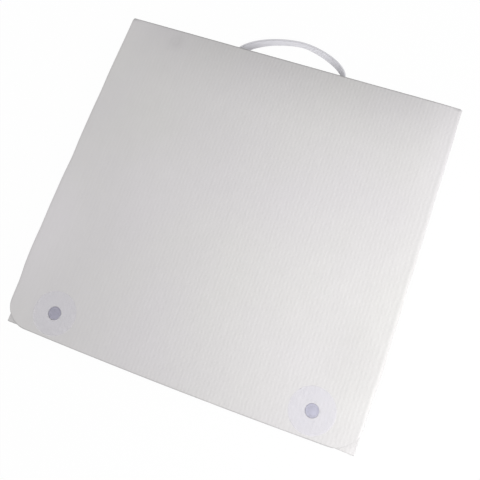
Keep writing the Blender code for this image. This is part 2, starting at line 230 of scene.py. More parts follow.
def fill(tree, node, **sockets):
    # feeds sockets by name, with underscores for their spaces
    for name, value in sockets.items():
        feed(tree, value, node.inputs[name.replace("_", " ")])
    return node


def newNode(tree, kind, **sockets):
    return fill(tree, tree.nodes.new(f"ShaderNode{kind}"), **sockets)


def newMaterial(name, colour, roughness, **sockets):
    material = bpy.data.materials.new(name)
    material.use_nodes = True
    tree = material.node_tree
    shader = tree.nodes["Principled BSDF"]
    fill(tree, shader, Base_Color=colour, Roughness=roughness, **sockets)
    return material, tree, shader


def calc(tree, operation, *values, clamp=False):
    node = newNode(tree, "Math")
    node.operation, node.use_clamp = operation, clamp
    for value, socket in zip(values, node.inputs):
        feed(tree, value, socket)
    return node.outputs[0]


def times(tree, a, b):
    return calc(tree, "MULTIPLY", a, b)


def coordinates(tree, source="Object", stretch=(1, 1, 1)):
    place = newNode(tree, "TexCoord").outputs[source]
    return newNode(tree, "Mapping", Vector=place, Scale=stretch).outputs[0]


def noise(tree, place, scale, detail=3.0, roughness=0.5):
    return newNode(tree, "TexNoise", Vector=place, Scale=scale, Detail=detail,
                   Roughness=roughness).outputs[0]


def cells(tree, place, scale):
    # distance from the nearest of many scattered points
    return newNode(tree, "TexVoronoi", Vector=place, Scale=scale).outputs["Distance"]


def pointShare(tree, name):
    node = newNode(tree, "Attribute")
    node.attribute_name = name
    return node.outputs["Fac"]


def axisOf(tree, place, axis):
    return newNode(tree, "SeparateXYZ", Vector=place).outputs[axis]


usual = (0.3, 0.7)   # nearly all of a noise lies between these


def spread(tree, value, low, high, toLow=0.0, toHigh=1.0):
    # one range of values carried onto another, held at its ends
    return newNode(tree, "MapRange", Value=value, From_Min=low, From_Max=high,
                   To_Min=toLow, To_Max=toHigh).outputs[0]


def blendColour(tree, share, a, b):
    node = newNode(tree, "Mix")
    node.data_type = "RGBA"
    for value, socket in ((share, node.inputs[0]), (a, node.inputs[6]), (b, node.inputs[7])):
        feed(tree, value, socket)
    return node.outputs[2]


def shade(tree, colour, value):
    # a colour made lighter or darker by a value near 1
    node = newNode(tree, "VectorMath")
    node.operation = "SCALE"
    feed(tree, colour, node.inputs[0])
    return fill(tree, node, Scale=value).outputs[0]


def relief(tree, height, distance, strength, **under):
    # bumps from a height; under is Normal=, the relief that they lie on
    return newNode(tree, "Bump", Height=height, Distance=distance, Strength=strength, **under).outputs[0]


# Finishes

finish = {
    "boardColour": (0.610, 0.598, 0.601),
    "boardTints": ((0.610, 0.592, 0.605), (0.612, 0.602, 0.595)),   # its colour wanders between these
    "boardRoughness": 0.43,
    "filmColour": (0.848, 0.835, 0.930),
    "filmTints": ((0.840, 0.830, 0.935), (0.855, 0.840, 0.925)),
    "filmOpacity": {"left": 0.110, "right": 0.150},   # of each face of a film; a ray meets two
    "circuitColour": (0.760, 0.765, 0.745),
    "padColour": (0.760, 0.690, 0.560),
    "grainDepth": 0.00003,     # of a plain finish, where its row gives no other
    "grainSpan": 0.06,         # its roughness rises and falls by this with the grain
    "cloudGrains": 30,         # and a cloud of its tone is this many grains wide
    "rimTint": 0.34,           # painted shade along the two rims of the strap, as their shadow lines
    "footTint": 0.32,          # painted shade low down inside the strap's two ends, where they meet the spine
    # for each plain finish: colour, roughness, grains in a metre, unevenness of its tone, and the rest
    "grainy": {
        "magnet_left": ((0.300, 0.291, 0.372), 0.50, 900, 0.10, {"Metallic": 0.25}),
        # the right magnet is a lighter copy of the left one: painted reflection on it
        "magnet_right": ((0.355, 0.353, 0.446), 0.50, 900, 0.10, {"Metallic": 0.25}),
        "steel": ((0.520, 0.525, 0.530), 0.38, 1300, 0.10, {"Metallic": 0.85, "stretch": (1, 0.12, 1)}),
        "strap": ((0.958, 0.950, 1.000), 0.42, 1700, 0.03, {"stretch": (1, 1, 0.35), "IOR": 1.49}),
        "plate": ((0.620, 0.615, 0.625), 0.45, 1500, 0.03, {"IOR": 1.49}),
        "diffuser": ((0.870, 0.875, 0.880), 0.42, 1200, 0.03,
                     {"stretch": (0.2, 1, 1), "Alpha": 0.62, "IOR": 1.49}),
        "phosphor": ((0.850, 0.620, 0.110), 0.32, 3000, 0.08, {}),
        "inlet": ((0.035, 0.035, 0.038), 0.48, 1800, 0.12, {"depth": 0.00005}),
        "hook": ((0.640, 0.640, 0.650), 0.60, 2400, 0.12, {"depth": 0.00006}),
        "hinge_tape": ((0.608, 0.598, 0.606), 0.38, 1400, 0.03, {"stretch": (0.4, 1, 1), "IOR": 1.49}),
    },
}
boardGrain = {
    # cells of each noise in a metre, or its stretch along the three axes
    "wanderStretch": (0.35, 120.0, 1.0),
    "streakStretch": (0.9, 30.0, 1.0),
    "rippleStretch": (0.9, 300.0, 1.0),
    "scratchStretch": (90.0, 900.0, 90.0),
    "cloudScale": 7.0,
    "mottleScale": 46.0,
    "grainScale": 2600.0,
    "dustScale": 34.0,
    "dustPatchScale": 21.0,
    "scratchPatchScale": 9.0,
    # the values of each noise between which its effect sets in
    "streakRange": (0.25, 0.75),
    "rippleRange": (0.44, 0.58),
    "dustRange": (0.018, 0.030),
    "dustPatchRange": (0.60, 0.64),
    "scratchRange": (0.715, 0.75),
    "scratchPatchRange": (0.52, 0.62),
    "ribTint": 0.0756,         # how much darker a rib, and lighter a flute, reads through the skin
    "ribWander": 0.20,         # a rib strays sideways by up to this share of a flute
    "ribFade": (-0.19, 0.0),   # partly painted light: the ribs start to show at the first X and are plainest from the second on, towards the lit side
    "ribShow": 0.60,
    "streakTone": (0.994, 1.006),
    "mottleTone": (0.990, 1.008),
    "mottleWear": (-0.05, 0.06),   # roughness that the mottle takes off and adds
    "scratchWear": 0.14,       # roughness that a scratch adds
    "dustTint": 0.16,
    "cutFacing": (0.80, 0.95),     # a face counts as cut when it looks along the flutes as nearly as this
    # painted shade on the faces that look along the flutes, as in open flute ends
    "cutTint": 0.10,
    "endTint": 0.26,           # painted shade along the cut ends and the rear crease
    "endFade": (0.2, 1.3),     # millimetres from them over which it fades
    "creaseTint": 0.15,        # strength of the painted shading: soft painted shade towards the rear crease, and the other painted light and shade it carries
    # depth and strength of each relief
    "grainRelief": (0.00003, 0.30),
    "ribRelief": (0.0008, 0.5),
    "scratchRelief": (0.00002, 0.5),
}
filmGrain = {
    "bubbleScale": 420.0,
    "bubbleRange": (0.05, 0.20),
    "bubblePatchScale": 130.0,
    "bubblePatchRange": (0.56, 0.62),
    "bubbleRelief": (0.00004, 0.5),
    "smearScale": 90.0,
    "smearRoughness": (0.24, 0.38),
    "smearRelief": (0.00012, 0.35),
}
circuitGrain = {
    "halfPitch": 0.0036,       # of the row of pads
    "padEdge": (0.0022, 0.0025),
    "wornScale": 500.0,
    "wornRange": (0.35, 0.65),
    "wornTone": (0.75, 1.0),
    "maskScale": 1500.0,
    "maskHeight": 0.3,
    "maskTone": (0.97, 1.02),
    "relief": (0.00004, 0.5),
}


def boardMaterial():
    # UV: u counts flutes across the board, v is metres along them. The ribs are the cosine of one turn
    # for each flute, and one tone gathers ribs, streaks, mottle, dust, and the painted shade and light of
    # the cut ends, the crease and the painted shading
    material, tree, shader = newMaterial("fluted_board", finish["boardColour"], finish["boardRoughness"],
                                         IOR=1.49, Specular_IOR_Level=0.42)
    look, place = boardGrain, coordinates(tree)
    wander = noise(tree, coordinates(tree, "UV", look["wanderStretch"]), 1.0, 1.0)
    inFlute = calc(tree, "ADD", axisOf(tree, coordinates(tree, "UV"), 0),
                   spread(tree, wander, *usual, -look["ribWander"], look["ribWander"]))
    rib = calc(tree, "COSINE", times(tree, inFlute, 2 * math.pi))   # 1 on a rib, -1 between two
    streak = noise(tree, coordinates(tree, "UV", look["streakStretch"]), 1.0, 2.0)
    ripple = noise(tree, coordinates(tree, "UV", look["rippleStretch"]), 1.0, 2.0, 0.55)
    cloud = noise(tree, place, look["cloudScale"])
    mottle = noise(tree, place, look["mottleScale"], 4.0, 0.6)
    grain = noise(tree, place, look["grainScale"], 2.0, 0.7)
    patch = spread(tree, noise(tree, place, look["dustPatchScale"], 0.0), *look["dustPatchRange"])
    dust = spread(tree, cells(tree, place, look["dustScale"]), *look["dustRange"], 1.0, 0.0)
    dust = times(tree, dust, patch)
    patch = spread(tree, noise(tree, place, look["scratchPatchScale"], 1.0), *look["scratchPatchRange"])
    scratch = noise(tree, coordinates(tree, "Object", look["scratchStretch"]), 1.0, 1.0)
    scratch = times(tree, spread(tree, scratch, *look["scratchRange"]), patch)

    colour = blendColour(tree, spread(tree, cloud, *usual), *finish["boardTints"])
    # the ribs read through the skin; their growth towards the lit +X side is painted light
    ribDepth = times(tree, spread(tree, ripple, *look["rippleRange"], 0.0, look["ribTint"]),
                     spread(tree, axisOf(tree, place, 0), *look["ribFade"], 0.0, look["ribShow"]))
    ribs = times(tree, rib, ribDepth)
    tone = calc(tree, "SUBTRACT", spread(tree, streak, *look["streakRange"], *look["streakTone"]), ribs)
    tone = times(tree, tone, spread(tree, mottle, *usual, *look["mottleTone"]))
    # painted shade along the cut ends, side edges and crease, and on the faces that look along the flutes
    endLine = spread(tree, pointShare(tree, "endDistance"), *look["endFade"], look["endTint"], 0.0)
    alongFlutes = calc(tree, "ABSOLUTE", axisOf(tree, coordinates(tree, "Normal"), 1))
    cutEnd = spread(tree, alongFlutes, *look["cutFacing"], 0.0, look["cutTint"])
    # dust greys the tone; then come the painted shade along the ends and the painted shading, whose
    # negative spots are painted light
    for grey in (times(tree, dust, look["dustTint"]), calc(tree, "MAXIMUM", endLine, cutEnd),
                 times(tree, pointShare(tree, "paintedShading"), look["creaseTint"])):
        tone = calc(tree, "SUBTRACT", tone, grey)
    wear = times(tree, scratch, look["scratchWear"])
    worn = calc(tree, "ADD", spread(tree, mottle, *usual, *look["mottleWear"]), wear)
    normal = relief(tree, grain, *look["grainRelief"])
    normal = relief(tree, ribs, *look["ribRelief"], Normal=normal)
    normal = relief(tree, times(tree, scratch, -1.0), *look["scratchRelief"], Normal=normal)
    fill(tree, shader, Base_Color=shade(tree, colour, tone), Normal=normal,
         Roughness=calc(tree, "ADD", worn, finish["boardRoughness"]))
    return material


def grainyMaterial(name, colour, roughness, scale, variation, depth=finish["grainDepth"],
                   stretch=(1, 1, 1), **sockets):
    # a moulded, pressed or drawn surface: fine grain, cloudy tone, and roughness that follows the grain
    material, tree, shader = newMaterial(name, colour, roughness, **sockets)
    place, span = coordinates(tree, "Object", stretch), finish["grainSpan"]
    fine, broad = noise(tree, place, scale, 3.0, 0.6), noise(tree, place, scale / finish["cloudGrains"])
    tone = times(tree, spread(tree, fine, *usual, 1 - variation / 2, 1 + variation / 2),
                 spread(tree, broad, *usual, 1 - variation, 1 + variation))
    fill(tree, shader, Base_Color=shade(tree, colour, tone), Normal=relief(tree, fine, depth, 0.5),
         Roughness=spread(tree, fine, *usual, roughness - span, roughness + span))
    return material


def filmMaterial(side):
    # a clear self-adhesive film, lilac where it lies on white; small trapped bubbles in it
    material, tree, shader = newMaterial(f"film_{side}", finish["filmColour"], 0.30, IOR=1.47,
                                         Alpha=finish["filmOpacity"][side])
    look, place = filmGrain, coordinates(tree)
    patch = spread(tree, noise(tree, place, look["bubblePatchScale"], 1.0), *look["bubblePatchRange"])
    bubble = spread(tree, cells(tree, place, look["bubbleScale"]), *look["bubbleRange"], 1.0, 0.0)
    smear = noise(tree, place, look["smearScale"], 4.0, 0.65)
    normal = relief(tree, smear, *look["smearRelief"])
    normal = relief(tree, times(tree, bubble, patch), *look["bubbleRelief"], Normal=normal)
    fill(tree, shader, Base_Color=blendColour(tree, spread(tree, smear, *usual), *finish["filmTints"]),
         Roughness=spread(tree, smear, *usual, *look["smearRoughness"]), Normal=normal)
    return material


def circuitMaterial():
    # white solder mask with a row of pale copper pads along X
    material, tree, shader = newMaterial("circuit", finish["circuitColour"], 0.36)
    look, place = circuitGrain, coordinates(tree)
    toPad = calc(tree, "PINGPONG", axisOf(tree, place, 0), look["halfPitch"])
    worn = noise(tree, place, look["wornScale"], 2.0)
    pad = times(tree, spread(tree, toPad, *look["padEdge"]),
                spread(tree, worn, *look["wornRange"], *look["wornTone"]))
    mask = noise(tree, place, look["maskScale"], 2.0)
    colour = blendColour(tree, pad, finish["circuitColour"], finish["padColour"])
    height = calc(tree, "ADD", pad, times(tree, mask, look["maskHeight"]))
    fill(tree, shader, Base_Color=shade(tree, colour, spread(tree, mask, *usual, *look["maskTone"])),
         Normal=relief(tree, height, *look["relief"]))
    return material


def greyStrap(material):
    # painted shade: darker along both rims and low down inside the two ends
    tree = material.node_tree
    socket = tree.nodes["Principled BSDF"].inputs["Base Color"]
    colour = socket.links[0].from_socket
    for name in ("rim", "foot"):
        tone = spread(tree, pointShare(tree, f"{name}Share"), 0.0, 1.0, 1.0, 1 - finish[f"{name}Tint"])
        colour = shade(tree, colour, tone)
    tree.links.new(colour, socket)


looks = {"board": boardMaterial(), "film_left": filmMaterial("left"), "film_right": filmMaterial("right"),
         "circuit": circuitMaterial()}
for name, (*plain, others) in finish["grainy"].items():
    looks[name] = grainyMaterial(name, *plain, **others)
greyStrap(looks["strap"])
print("materials ready")


# Fluted board: two thin skins with upright ribs between them

board = {
    "flutePitch": 0.00427,
    "skin": 0.00035,
    "rib": 0.00030,
    "perFlute": 4,           # faces of the top skin in each flute
    "stations": 26,          # rows along the flutes
    "endRow": 0.003,         # share of the length between a cut end and the next row
    "cutRim": 0.00018,       # rounding of the cut ends
    "sinkDepth": 0.000045,   # how far the skin sags between two ribs
    "sinkVariation": 0.75,
    "sinkLength": 0.011,     # length of a sag along its flute
    "waveHeight": 0.00012,
    "waveLength": 0.070,
    "sideRoll": 0.0006,      # width of the closed side edges, pinched down by the same
    "cornerRadius": 0.0015,
    "flapRadius": 0.014,     # of the flaps' two free corners
    # a side edge gets the painted shade line as if a cut end lay sideGap outside it; from sideGapFrom
    # behind the front on, that gap grows by sideGapMore over the next sideGapOver
    "sideGap": 0.0004,
    "sideGapMore": 0.0013,
    "sideGapFrom": 0.095,
    "sideGapOver": 0.030,
    "curveGap": 0.0016,      # what is added to the gap on the right front curve, growing over curveFade; it keeps the painted shade line off that curve
    "curveFade": 0.0020,
    "creaseZone": 0.020,     # this close to the crease, it gets the painted shade line as a cut end does
    "creaseReach": 0.075,    # the soft painted shade reaches this far from the crease
    "creaseFall": 1.5,       # and falls off with this power,
    "asideFall": 4,          # and with this one from the middle towards the sides
    "creaseWidth": 0.0020,
    "creaseLine": 2.6,       # depth of the painted shade line on the crease, as a share of the soft painted shade
    "dentShade": 0.45,          # painted shade over the dent, as such a share
}


def endDistance(points, low, high, begin, end, bend):
    # how far each point lies from the nearest cut end, side edge or crease, in millimetres up to 5; the
    # material paints shade along them by it
    x, y, z = points.T
    gap = y - begin(x)
    if bend is None:
        gap = np.minimum(gap, end(x) - y)
    else:
        toCrease = np.maximum(high[1] - y, high[2] - z)
        gap = np.where(y > high[1] - board["creaseZone"], toCrease, gap)
    rearwards = held((y - low[1] - board["sideGapFrom"]) / board["sideGapOver"])
    sideGap = board["sideGap"] + board["sideGapMore"] * rearwards
    gap = np.minimum(gap, np.minimum(x - low[0], high[0] - x) + sideGap)
    onCurve = held((begin(x) - low[1]) / board["curveFade"]) * (x > 0)
    return np.clip((gap + board["curveGap"] * onCurve) * 1000, 0, 5)


def paintedShading(points, low, high, bend):
    # painted shade: 1 at the crease, falling to 0 over creaseReach and towards the side edges; a painted
    # shade line on the crease itself is added, and so are Gaussian spots of painted shade at the dent and
    # of painted light and shade at the roof's painted spots
    x, y, z = points.T
    away = high[1] - y + np.clip(high[2] - bend["radius"] - z, 0, None)
    aside = np.abs(2 * (x - low[0]) / (high[0] - low[0]) - 1)
    nearness = held(1 - away / board["creaseReach"]) ** board["creaseFall"]
    nearness *= held(1 - aside ** board["asideFall"])
    nearness += board["creaseLine"] * held(1 - away / board["creaseWidth"])
    dentX, dentY, radius, _ = roof["dent"]
    dentShade = (dentX, dentY, radius, radius, board["dentShade"])
    for spotX, spotY, reachX, reachY, amount in (dentShade, *roof["paintedSpots"]):
        nearness += amount * np.exp(-((x - spotX) / reachX) ** 2 - ((y - spotY) / reachY) ** 2)
    return nearness


def flutedBoard(name, low, high, front, rear=None, roll=board["sideRoll"], rollDrop=board["sideRoll"],
                stations=board["stations"], bend=None, seed=1, holes=(), warp=None):
    # Outline: at each x the board runs along Y from front(x) to rear(x).
    # Section: flat top and bottom, and side edges that fall away as a quarter ellipse.
    # Top skin: sag = depth * sin(pi * place in the flute)^2, uneven along each flute.
    # bend turns the rear end down round an arc, and warp moves the finished points.
    middleZ, half = (low[2] + high[2]) / 2, (high[2] - low[2]) / 2
    count = round((high[0] - low[0] - 2 * roll) / board["flutePitch"])
    ribs = np.linspace(low[0] + roll, high[0] - roll, count + 1)
    pitch = ribs[1] - ribs[0]
    share = np.sin(np.linspace(0, np.pi / 2, 9))
    fall = 1 - np.sqrt(held(1 - share ** 2))
    edge = share * roll
    perFlute = board["perFlute"]
    across = np.linspace(ribs[0], ribs[-1], count * perFlute + 1)
    topX = np.concatenate([ribs[0] - edge[:0:-1], across, ribs[-1] + edge[1:]])
    topW = half - rollDrop * np.concatenate([fall[:0:-1], 0 * across, fall[1:]])
    under = min(rollDrop, board["cutRim"])
    botX = np.concatenate([ribs[-1] + edge[[8, 4]], ribs[::-1], ribs[0] - edge[[4, 8]]])
    botW = -half + under * np.concatenate([fall[[8, 4]], 0 * ribs, fall[[4, 8]]])
    loopX, loopW = np.concatenate([topX, botX]), np.concatenate([topW, botW])
    nTop, nLoop, margin = len(topX), len(topX) + len(botX), len(edge) - 1
    topRib = margin + perFlute * np.arange(count + 1)
    botRib = nTop + 2 + (count - np.arange(count + 1))

    def end(x):
        return rear(x) if bend is None else bend["end"] + 0 * x

    rim = board["cutRim"]
    close = rim * np.array([0, 0.3, 1.0])
    closeDrop = rim * (1 - np.sqrt(held(1 - (1 - close / rim) ** 2)))
    even = np.linspace(0, 1, stations)[1:-1]
    turned = []
    if bend is not None:   # extra rows round the bend
        turns = bend["from"] + np.linspace(0, 1, 9) * (bend["to"] - bend["from"])
        turned = (turns - low[1]) / (bend["end"] - low[1])
    even = np.unique(np.concatenate([[board["endRow"]], even, turned, [1 - board["endRow"]]]))
    v0, v1 = front(loopX), end(loopX)
    v = np.concatenate([v0 + close[:, None], v0 + rim + (v1 - v0 - 2 * rim) * even[:, None],
                        v1 - close[::-1, None]])
    drop = np.concatenate([closeDrop, 0 * even, closeDrop[::-1]])[:, None]
    w = loopW * (1 - drop / half)
    x = loopX + 0 * v
    inFlute, step = np.zeros(nLoop), np.arange(len(across)) % perFlute
    inFlute[margin:margin + len(across)] = np.sin(np.pi * step / perFlute) ** 2
    fluteNumber = np.floor((x - ribs[0]) / pitch + 1e-6)
    uneven = 1 + board["sinkVariation"] * latticeNoise(seed, fluteNumber, v / board["sinkLength"])
    wave = board["waveHeight"] * latticeNoise(seed + 50, x / board["waveLength"], v / board["waveLength"])
    onFace = (drop == 0) * (loopW > 0.98 * half)
    w = w - onFace * (board["sinkDepth"] * inFlute * uneven + np.abs(wave))

    channelW, halfRib = half - board["skin"], board["rib"] / 2
    chX = np.stack([ribs[:-1], ribs[1:], ribs[1:], ribs[:-1]], 1) + halfRib * np.array([1, -1, -1, 1])
    chX, chW = chX.ravel(), np.tile(channelW * np.array([1, 1, -1, -1]), count)
    chSteps = np.concatenate([[0.0], turned, [1.0]])
    chV = front(chX) + (end(chX) - front(chX)) * chSteps[:, None]

    def place(x, v, w):
        if bend is None:
            return np.stack([x, v, middleZ + w], -1)
        turn = held((v - bend["from"]) / (bend["to"] - bend["from"])) * np.pi / 2
        beyond = np.clip(v - bend["to"], 0, None)
        y = np.minimum(v, bend["from"]) + (bend["radius"] + w) * np.sin(turn)
        z = middleZ - bend["radius"] + (bend["radius"] + w) * np.cos(turn) - beyond
        return np.stack([x, y, z], -1)

    outer = place(x, v, w)
    channel = place(chX + 0 * chV, chV, chW + 0 * chV)
    points = np.vstack([outer.reshape(-1, 3), channel.reshape(-1, 3)])
    rows, base = outer.shape[0], outer.shape[0] * nLoop
    faces = gridQuads(rows, nLoop).tolist()
    k = np.arange(count)
    j = np.arange(len(chSteps) - 1)[:, None, None]
    c = np.arange(4)[None, None, :]
    here = base + j * count * 4 + k[None, :, None] * 4
    there = here + count * 4
    tube = np.stack([here + c, there + c, there + (c + 1) % 4, here + (c + 1) % 4], -1)
    faces += tube.reshape(-1, 4).tolist()
    for last in (0, 1):   # cut ends: webs above and below each flute, ribs, and the two margins
        o = last * (rows - 1) * nLoop
        ch = base + last * (len(chSteps) - 1) * count * 4
        tl, tr, br, bl = (ch + k * 4 + n for n in range(4))
        web = [tl, tr] + [o + topRib[:-1] + n for n in range(perFlute, -1, -1)]
        lowerWeb = [o + botRib[:-1], o + botRib[1:], br, bl]
        ribFace = [o + botRib[1:-1], bl[1:], tl[1:], o + topRib[1:-1], tr[:-1], br[:-1]]
        polygons = [face for group in (web, lowerWeb, ribFace) for face in np.stack(group, -1).tolist()]
        polygons.append([o + nLoop - 1 - n for n in range(2)] + [o + botRib[0], bl[0], tl[0]]
                        + [o + topRib[0] - n for n in range(margin + 1)])
        polygons.append([o + botRib[-1], o + nTop + 1, o + nTop]
                        + [o + nTop - 1 - n for n in range(margin + 1)] + [tr[-1], br[-1]])
        faces += [[int(index) for index in (face[::-1] if last else face)] for face in polygons]
    piece = makeMesh(name, points, faces)
    if holes:
        cut(piece, holes)
    points = pointArray(piece)
    loops = np.zeros(len(piece.data.loops), int)
    piece.data.loops.foreach_get("vertex_index", loops)
    flutes = np.stack([(points[:, 0] - ribs[0]) / pitch, points[:, 1] - points[:, 2]], -1)
    layer = piece.data.uv_layers.new(name="flutes")
    layer.data.foreach_set("uv", flutes[loops].ravel())
    # these two values carry the painted shade along the ends and crease, and the roof's other painted
    # light and shade
    writeShare(piece, "endDistance", endDistance(points, low, high, front, end, bend))
    if bend is not None:
        writeShare(piece, "paintedShading", paintedShading(points, low, high, bend))
    if warp is not None:
        movePoints(piece, warp(points))
    smoothPiece(piece)
    return piece


def roundedEnd(low, high, line, radii, sign=1):
    # where the flute at x starts or stops: a straight line with a quarter circle at each side
    def at(x):
        left, right = radii
        inLeft, inRight = np.clip(low + left - x, 0, left), np.clip(x - high + right, 0, right)
        leftDrop = left - np.sqrt(np.clip(left ** 2 - inLeft ** 2, 0, None))
        rightDrop = right - np.sqrt(np.clip(right ** 2 - inRight ** 2, 0, None))
        return line + sign * (leftDrop + rightDrop)
    return at


# Roof and rear spine: one board, folded down at the back by a rounded crease

roof = {
    "cornerRadius": 0.026,
    "stations": 125,
    "sideRoll": 0.0034,         # the sealed side edges thin out over this width
    "sideDrop": 0.0013,
    "creaseRadius": 0.0008,
    # how far the left and right edges belly out, at shares of the depth from front to rear
    "sideBelly": (((0, 0.12, 0.17, 0.22, 0.30, 0.50, 0.75, 0.90, 1.0),
                   (0.0008, 0.0018, 0.0036, 0.0042, 0.0043, 0.0032, 0.0026, 0.0011, 0.0006)),
                  ((0, 0.10, 0.20, 0.30, 0.50, 0.65, 0.80, 0.90, 1.0),
                   (0.0010, 0.0015, 0.0028, 0.0024, 0.0020, 0.0022, 0.0017, 0.0012, 0.0011))),
    "sideStart": (0.030, 0.010),   # distance from the edge at which the belly sets in
    "sideDip": (0.0, 0.0007),      # the edge droops by this, from dipStart on
    "dipStart": 0.030,
    "frontBow": 0.0025,
    "frontShift": 0.0003,
    "frontStart": 0.030,
    "rearBulge": 0.0011,        # the crease stands out by this
    "rearStart": 0.010,
    "edgeWave": 0.00035,        # unevenness of the two side edges
    "edgeWaveLength": 0.028,
    "slot": (0.00135, 0.0004),  # half the width of the strap's slots in the spine, and their play
    "dent": (-0.135, 0.160, 0.0075, 0.00045),   # x, y, radius and depth
    # painted light and shade on the face: place, reach along X and Y, and strength, where minus is paler
    "paintedSpots": ((-0.190, -0.092, 0.035, 0.082, -0.50), (0.195, 0.120, 0.030, 0.070, -0.45),
              (0.165, -0.116, 0.028, 0.038, 0.30), (-0.095, -0.010, 0.050, 0.060, -0.18)),
}


def warpRoof(points):
    # each edge moves out by its own amount along it, eased in over the first millimetres
    # from the edge; the dent is a Gaussian dip
    x, y, z = points.T.copy()
    halfWidth = (roofHigh[0] - roofLow[0]) / 2
    alongX = 1 - np.clip((x - middleX) / halfWidth, -1, 1) ** 2
    share = held((y - roofLow[1]) / (roofHigh[1] - roofLow[1]))
    for sign, belly, start, dip in zip((-1, 1), roof["sideBelly"], roof["sideStart"], roof["sideDip"]):
        outside = sign * (x - middleX) - halfWidth
        wave = roof["edgeWave"] * latticeNoise(70 + sign, y / roof["edgeWaveLength"], 0 * y)
        points[:, 0] += sign * (np.interp(share, *belly) + wave) * held(outside / start + 1) ** 2
        points[:, 2] -= dip * held(outside / roof["dipStart"] + 1) ** 2
    near = held((roofLow[1] - y) / roof["frontStart"] + 1)
    points[:, 1] -= (roof["frontBow"] * alongX + roof["frontShift"]) * near ** 2
    near = held((y - roofHigh[1]) / roof["rearStart"] + 1)
    rise = held((z - strapHigh[2]) / (roofLow[2] - strapHigh[2]))
    points[:, 1] += roof["rearBulge"] * near ** 2 * eased(rise)
    dentX, dentY, radius, depth = roof["dent"]
    away = ((x - dentX) ** 2 + (y - dentY) ** 2) / radius ** 2
    points[:, 2] -= depth * np.exp(-away) * (z > roofLow[2])
    return points


roofBendStart = roofHigh[1] - (roofHigh[2] - roofLow[2]) / 2 - roof["creaseRadius"]
roofBendEnd = roofBendStart + roof["creaseRadius"] * np.pi / 2
spineDrop = (roofLow[2] + roofHigh[2]) / 2 - roof["creaseRadius"] - spineLow[2]
slotHalf, slotPlay = roof["slot"]
roofHoles = [discPocket(f"roof_magnet_{side}", "roof_panel", 1) for side, _ in sides]
slotFront, slotBack = spineLow[1] - opening["beyond"], spineHigh[1] + opening["beyond"]
roofHoles += [boxShape((sign * slotX - slotHalf, slotFront, strapLow[2] - slotPlay),
                       (sign * slotX + slotHalf, slotBack, strapHigh[2] + slotPlay)) for _, sign in sides]
roofFront = roundedEnd(roofLow[0], roofHigh[0], roofLow[1], (roof["cornerRadius"],) * 2)
roofBend = {"from": roofBendStart, "to": roofBendEnd, "radius": roof["creaseRadius"],
            "end": roofBendEnd + spineDrop}
roofShell = flutedBoard("roof_shell", roofLow, roofHigh, roofFront, roll=roof["sideRoll"],
                        rollDrop=roof["sideDrop"], stations=roof["stations"], bend=roofBend, seed=3,
                        holes=roofHoles, warp=warpRoof)
finishPiece(roofShell, "board", "roof", "board", "roof_panel", "roof_spine")
print("roof shell:", len(roofShell.data.polygons), "faces")


# Floor, wall halves, back panel and flaps

floorSpread = {
    "by": (0.0012, 0.0018),        # the left and right edges stand out by this
    "start": 0.030,
    "forward": (0.0, 0.0016),      # and the front corners stand forward by this
    "forwardStart": (0.050, 0.060),
    "cornerPaintedLight": 0.65,              # painted light on the two front corners, where the stack above shades them
    "paleReach": 0.034,
    "paleSlope": 1.6,
}


def spreadFloor(points):
    # the side edges move out by the square of their nearness, and the front corners forward
    # by the product of their nearness along X and Y
    x, y = points[:, 0].copy(), points[:, 1].copy()
    alongX, alongY = floorSpread["forwardStart"]
    for (_, sign), by, forward in zip(sides, floorSpread["by"], floorSpread["forward"]):
        inward = roofHigh[0] - middleX - sign * (x - middleX)
        points[:, 0] += sign * by * held(1 - inward / floorSpread["start"]) ** 2
        points[:, 1] -= forward * held(1 - inward / alongX) * held(1 - (y - roofLow[1]) / alongY)
    return points


def paleCorners(piece):
    # painted light: paler in a quarter circle round each front corner, falling off in a straight line
    points = pointArray(piece)
    low, high = points.min(0), points.max(0)
    away = np.hypot(np.minimum(points[:, 0] - low[0], high[0] - points[:, 0]), points[:, 1] - low[1])
    pale = held(floorSpread["paleSlope"] * (1 - away / floorSpread["paleReach"]))
    writeShare(piece, "paintedShading", -floorSpread["cornerPaintedLight"] * pale)


def plainBoard(node, body, seed, holes=(), radii=(board["cornerRadius"],) * 4, warp=None):
    # radii: front left, front right, rear left, rear right
    low, high = corners(node)
    front = roundedEnd(low[0], high[0], low[1], radii[:2])
    rear = roundedEnd(low[0], high[0], high[1], radii[2:], -1)
    piece = flutedBoard(f"{node}_fluted", low, high, front, rear, seed=seed, holes=holes, warp=warp)
    return finishPiece(piece, "board", body, "board", node)


floorHoles = [discPocket(f"floor_magnet_{side}", "floor_panel", -1) for side, _ in sides]
paleCorners(plainBoard("floor_panel", "floor", 11, floorHoles, warp=spreadFloor))
plainBoard("back_panel", "back", 12)
for side, sign in sides:
    plainBoard(f"{side}_wall_lower", f"{side}_lower", 20 + sign,
               [discPocket(f"{side}_lower_disc", f"{side}_wall_lower", 1)])
    plainBoard(f"{side}_wall_upper", f"{side}_upper", 30 + sign,
               [discPocket(f"{side}_upper_disc", f"{side}_wall_upper", -1)])
    flapHoles = [discPocket(f"{side}_flap_magnet_{place}", f"{side}_flap", -1)
                 for place in ("high", "low")]
    flapRadii = (board["cornerRadius"], board["flapRadius"])[::-sign] * 2   # rounder towards the middle
    plainBoard(f"{side}_flap", f"{side}_flap", 40 + sign, flapHoles, flapRadii)
print("floor, walls, back and flaps ready")


# Magnets, steel discs and the films over them

disc = {
    "rim": 0.00025,
    "faceRing": 0.0016,      # a shallow ring pressed into each face, this far from the rim
    "ringWidth": 0.0003,
    "ringSlope": 0.0002,
    "ringDepth": 0.00006,
    "filmEdge": 0.0009,      # width over which the film thins out to its cut edge
    "filmThin": 0.75,        # share of its thickness that it loses there
}


